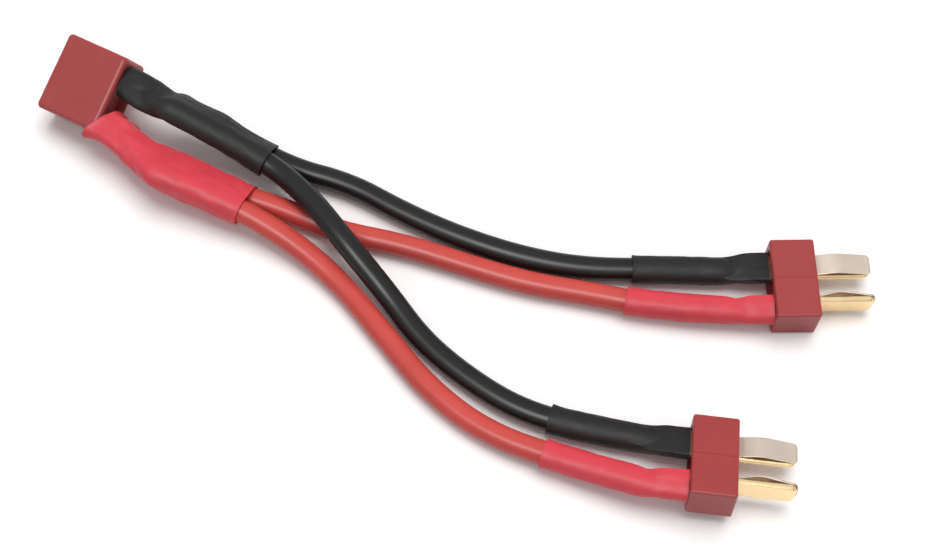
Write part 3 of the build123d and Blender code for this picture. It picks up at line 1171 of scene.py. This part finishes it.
def table_top(stage):
    """The table, just below what rests on it."""
    mesh = bpy.data.meshes.new("table_top")
    corners = [(x * TABLE_HALF, y * TABLE_HALF, 0) for x, y in ((-1, -1), (1, -1), (1, 1), (-1, 1))]
    mesh.from_pydata(corners, [], [(0, 1, 2, 3)])
    mesh.materials.append(sprayed_paint(stage))
    table = bpy.data.objects.new("table_top", mesh)
    table.location.z = -TABLE_DROP
    bpy.context.scene.collection.objects.link(table)


def lamps(stage):
    """A soft lamp that lights surfaces, and another that is only seen as a highlight."""
    for name, energy, spread, way in (
        ("soft_lamp", stage.lamp, stage.spread, LAMP_WAY),
        ("gleam_lamp", stage.gleam, GLEAM_SPREAD, GLEAM_WAY),
    ):
        lamp = bpy.data.lights.new(name, "SUN")
        lamp.energy = energy
        lamp.angle = spread
        holder = bpy.data.objects.new(name, lamp)
        holder.rotation_euler = Vector(way).to_track_quat("Z", "Y").to_euler()
        holder.visible_diffuse = name == "soft_lamp"
        holder.visible_glossy = name == "gleam_lamp"
        bpy.context.scene.collection.objects.link(holder)


def studio_sky(stage):
    """Light from all round: white to the camera, brighter overhead in reflections."""
    world = bpy.data.worlds.new("studio")
    world.use_nodes = True
    tree = world.node_tree
    tree.nodes.clear()
    ray = add_node(tree, "ShaderNodeLightPath")
    way = add_node(tree, "ShaderNodeTexCoord").outputs["Generated"]
    height = add_node(tree, "ShaderNodeSeparateXYZ", inputs={"Vector": way})
    mirror = add_node(
        tree,
        "ShaderNodeMapRange",
        {"interpolation_type": "SMOOTHSTEP"},
        {
            "Value": height.outputs["Z"],
            "From Max": FULL_HEIGHT,
            "To Min": HORIZON_SHARE * stage.mirror,
            "To Max": stage.mirror,
        },
    )
    mirrored = add_node(
        tree,
        "ShaderNodeMapRange",
        inputs={
            "Value": ray.outputs["Is Glossy Ray"],
            "To Min": stage.sky,
            "To Max": mirror.outputs["Result"],
        },
    )
    strength = add_node(
        tree,
        "ShaderNodeMath",
        {"operation": "MAXIMUM"},
        {0: ray.outputs["Is Camera Ray"], 1: mirrored.outputs["Result"]},
    )
    light = add_node(
        tree,
        "ShaderNodeBackground",
        inputs={"Color": (1, 1, 1, 1), "Strength": strength.outputs[0]},
    )
    add_node(tree, "ShaderNodeOutputWorld", inputs={"Surface": light.outputs[0]})
    return world


class HARNESS_OT_stage(bpy.types.Operator):
    """Sets the pale table, the soft lamp and the light from all round"""

    bl_idname = "harness.stage"
    bl_label = "Stage"

    def execute(self, context):
        stage = context.scene.harness_stage
        table_top(stage)
        lamps(stage)
        context.scene.world = studio_sky(stage)
        context.scene.view_settings.view_transform = "Standard"
        return {"FINISHED"}


class HARNESS_PT_build(bpy.types.Panel):
    """Lists the steps and the sizes and colours that they use"""

    bl_label = "Battery harness"
    bl_idname = "HARNESS_PT_build"
    bl_space_type = "VIEW_3D"
    bl_region_type = "UI"
    bl_category = "Harness"

    def draw(self, context):
        layout = self.layout
        for step in STEPS:
            layout.operator(step.bl_idname)
        for group in GROUPS:
            values = getattr(context.scene, group)
            box = layout.box()
            for name in values.__annotations__:
                box.prop(values, name)


STEPS = (
    HARNESS_OT_camera,
    HARNESS_OT_wires,
    HARNESS_OT_housings,
    HARNESS_OT_contacts,
    HARNESS_OT_plug_sleeves,
    HARNESS_OT_socket_sleeves,
    HARNESS_OT_stage,
)
GROUPS = {
    "harness_wires": WireSettings,
    "harness_sleeves": SleeveSettings,
    "harness_connectors": ConnectorSettings,
    "harness_stage": StageSettings,
}


def register():
    for kind in (*GROUPS.values(), *STEPS, HARNESS_PT_build):
        bpy.utils.register_class(kind)
    for name, kind in GROUPS.items():
        setattr(bpy.types.Scene, name, bpy.props.PointerProperty(type=kind))


def unregister():
    for name in GROUPS:
        delattr(bpy.types.Scene, name)
    for kind in (HARNESS_PT_build, *reversed(STEPS), *reversed(GROUPS.values())):
        bpy.utils.unregister_class(kind)


def main():
    register()
    bpy.ops.harness.camera()
    bpy.ops.harness.wires()
    bpy.ops.harness.housings()
    bpy.ops.harness.contacts()
    bpy.ops.harness.plug_sleeves()
    bpy.ops.harness.socket_sleeves()
    bpy.ops.harness.stage()


if __name__ == "__main__":
    main()
